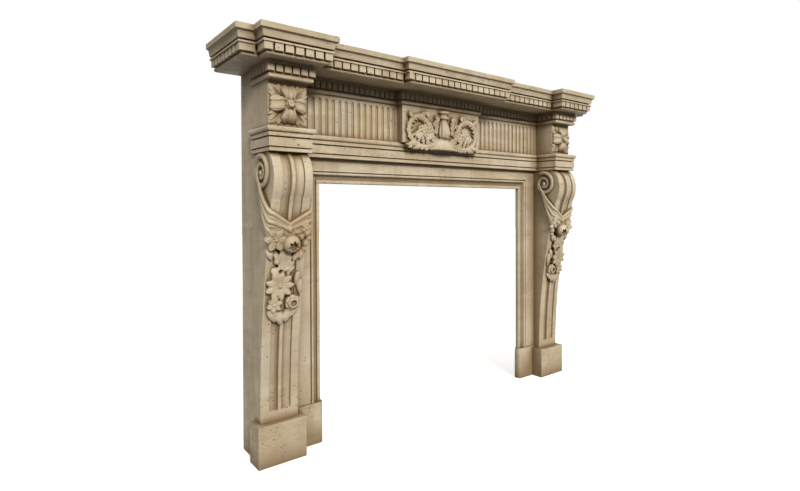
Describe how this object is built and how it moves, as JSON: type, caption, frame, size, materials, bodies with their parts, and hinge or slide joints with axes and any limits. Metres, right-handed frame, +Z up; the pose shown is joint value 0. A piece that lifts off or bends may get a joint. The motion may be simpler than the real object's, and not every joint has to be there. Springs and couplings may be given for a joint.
{
  "type": "carved stone chimneypiece",
  "caption": "Carved travertine fire surround: scroll console legs, rosette blocks, fluted frieze, urn tablet and dentil cornice under a breakfront shelf.",
  "frame": {"origin": "on the floor, in the middle of the box that holds the chimneypiece", "axes": "+X to the right along the shelf, +Y back to the wall (the front faces -Y), +Z up"},
  "size_m": [1.83, 0.346, 1.411],
  "materials": {
    "travertine": "honed, unfilled, with small pits and tan stains"
  },
  "bodies": {
    "root": {"console_plinth_left": "travertine", "console_plinth_right": "travertine", "console_left": "travertine", "console_right": "travertine", "console_cap_left": "travertine", "console_cap_right": "travertine", "frieze_block_left": "travertine", "frieze_block_right": "travertine", "side_return_left": "travertine", "side_return_right": "travertine", "jamb_plinth_left": "travertine", "jamb_plinth_right": "travertine", "jamb_left": "travertine", "jamb_right": "travertine", "lintel": "travertine", "architrave": "travertine", "frieze_panel_left": "travertine", "frieze_panel_right": "travertine", "frieze_tablet": "travertine", "dentil_cornice": "travertine", "mantel_shelf": "travertine"}
  },
  "joints": []
}
